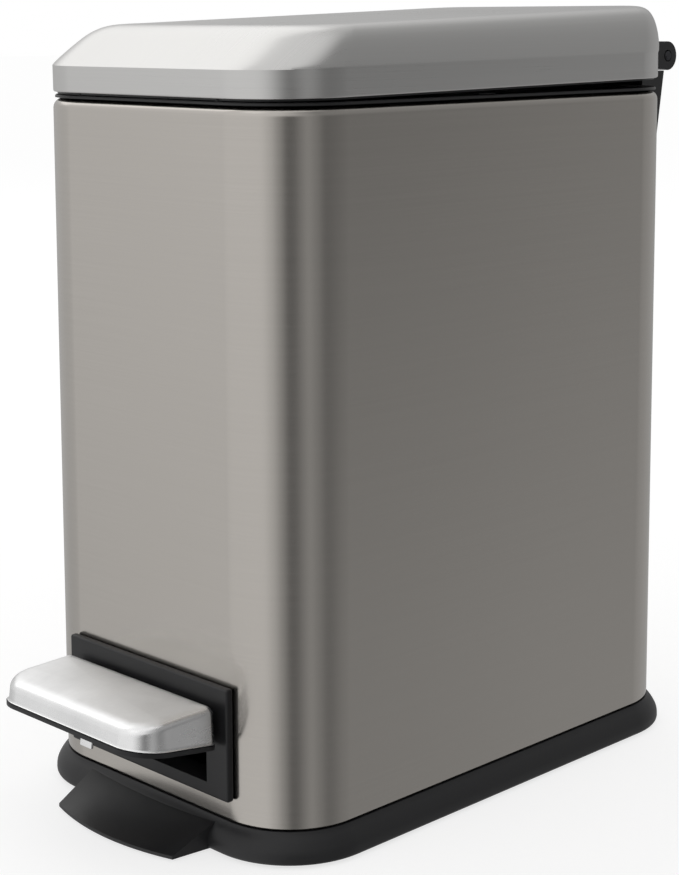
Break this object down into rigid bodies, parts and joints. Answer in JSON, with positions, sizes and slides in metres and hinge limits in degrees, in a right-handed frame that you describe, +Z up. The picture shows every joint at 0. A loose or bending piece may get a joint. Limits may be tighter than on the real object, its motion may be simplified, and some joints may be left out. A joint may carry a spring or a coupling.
{
  "type": "pedal bin",
  "caption": "Slim steel pedal bin: a foot pedal lifts the rear-hinged domed lid through a rocking lever and push rod; a liftable inner bucket with a wire handle hangs in the body.",
  "frame": {"origin": "on the floor under the middle of the whole reach, from the pedal's front edge to the hinge's rear", "axes": "+Z up, -Y towards the pedal and the person, +X to the bin's left as it faces them, which is a viewer's right"},
  "size_m": [0.149, 0.2806, 0.2884],
  "materials": {
    "brushed_steel": "fine brushing that runs level round the body, with a clear coat against finger marks",
    "polished_steel": "polished",
    "plated_wire": "zinc plated",
    "black_plastic": "fine matt moulding",
    "dark_grey_plastic": "smooth moulding",
    "black_rubber": "matt",
    "white_acetal": "smooth moulding"
  },
  "bodies": {
    "body": {"body_shell": "brushed_steel", "base": "black_plastic", "foot_front_left": "black_rubber", "foot_front_right": "black_rubber", "foot_rear_left": "black_rubber", "foot_rear_right": "black_rubber", "top_rim": "black_plastic", "pedal_frame": "black_plastic", "lever_bearing_left": "white_acetal", "lever_bearing_right": "white_acetal", "bearing_screw_left": "plated_wire", "bearing_screw_right": "plated_wire", "lever_axle": "plated_wire", "axle_clip_left": "plated_wire", "axle_clip_right": "plated_wire", "hinge_bracket": "black_plastic", "hinge_backplate": "plated_wire", "bracket_screw_1": "plated_wire", "bracket_screw_2": "plated_wire", "bracket_screw_3": "plated_wire", "bracket_screw_4": "plated_wire", "hinge_pin": "plated_wire"},
    "lid": {"lid_cover": "brushed_steel", "lid_liner": "black_plastic", "lid_buffer_left": "black_rubber", "lid_buffer_right": "black_rubber", "lid_hinge_arms": "black_plastic", "arm_screw_left": "plated_wire", "arm_screw_right": "plated_wire"},
    "pedal": {"pedal_lever": "plated_wire", "pedal_core": "black_plastic", "pedal_cap": "polished_steel", "pedal_screw_front": "plated_wire", "pedal_screw_rear": "plated_wire"},
    "rod": {"push_rod": "plated_wire", "rod_clip_lower": "plated_wire", "rod_clip_upper": "plated_wire"},
    "bucket": {"bucket": "dark_grey_plastic"},
    "handle": {"bucket_handle": "plated_wire"}
  },
  "joints": [
    {"name": "lid_hinge", "type": "hinge", "parent": "body", "child": "lid", "pos_m": [0, 0.1338, 0.2684], "axis": [-1, 0, 0], "range_deg": [0, 75]},
    {"name": "pedal_pivot", "type": "hinge", "parent": "body", "child": "pedal", "pos_m": [0, -0.0321, 0.0295], "axis": [1, 0, 0], "range_deg": [0, 7.9]},
    {"name": "rod_slide", "type": "slide", "parent": "body", "child": "rod", "axis": [0, 0, 1], "range_m": [0, 0.01918]},
    {"name": "bucket_lift", "type": "slide", "parent": "body", "child": "bucket", "axis": [0, 0, 1], "range_m": [0, 0.003]},
    {"name": "bail_swing", "type": "hinge", "parent": "bucket", "child": "handle", "pos_m": [0, 0.0079, 0.2547], "axis": [-1, 0, 0], "range_deg": [0, 4]}
  ],
  "couplings": [
    {"joint": "pedal_pivot", "follows": "lid_hinge", "ratio": 0.10538},
    {"joint": "rod_slide", "follows": "lid_hinge", "m_per_rad": 0.014655}
  ]
}
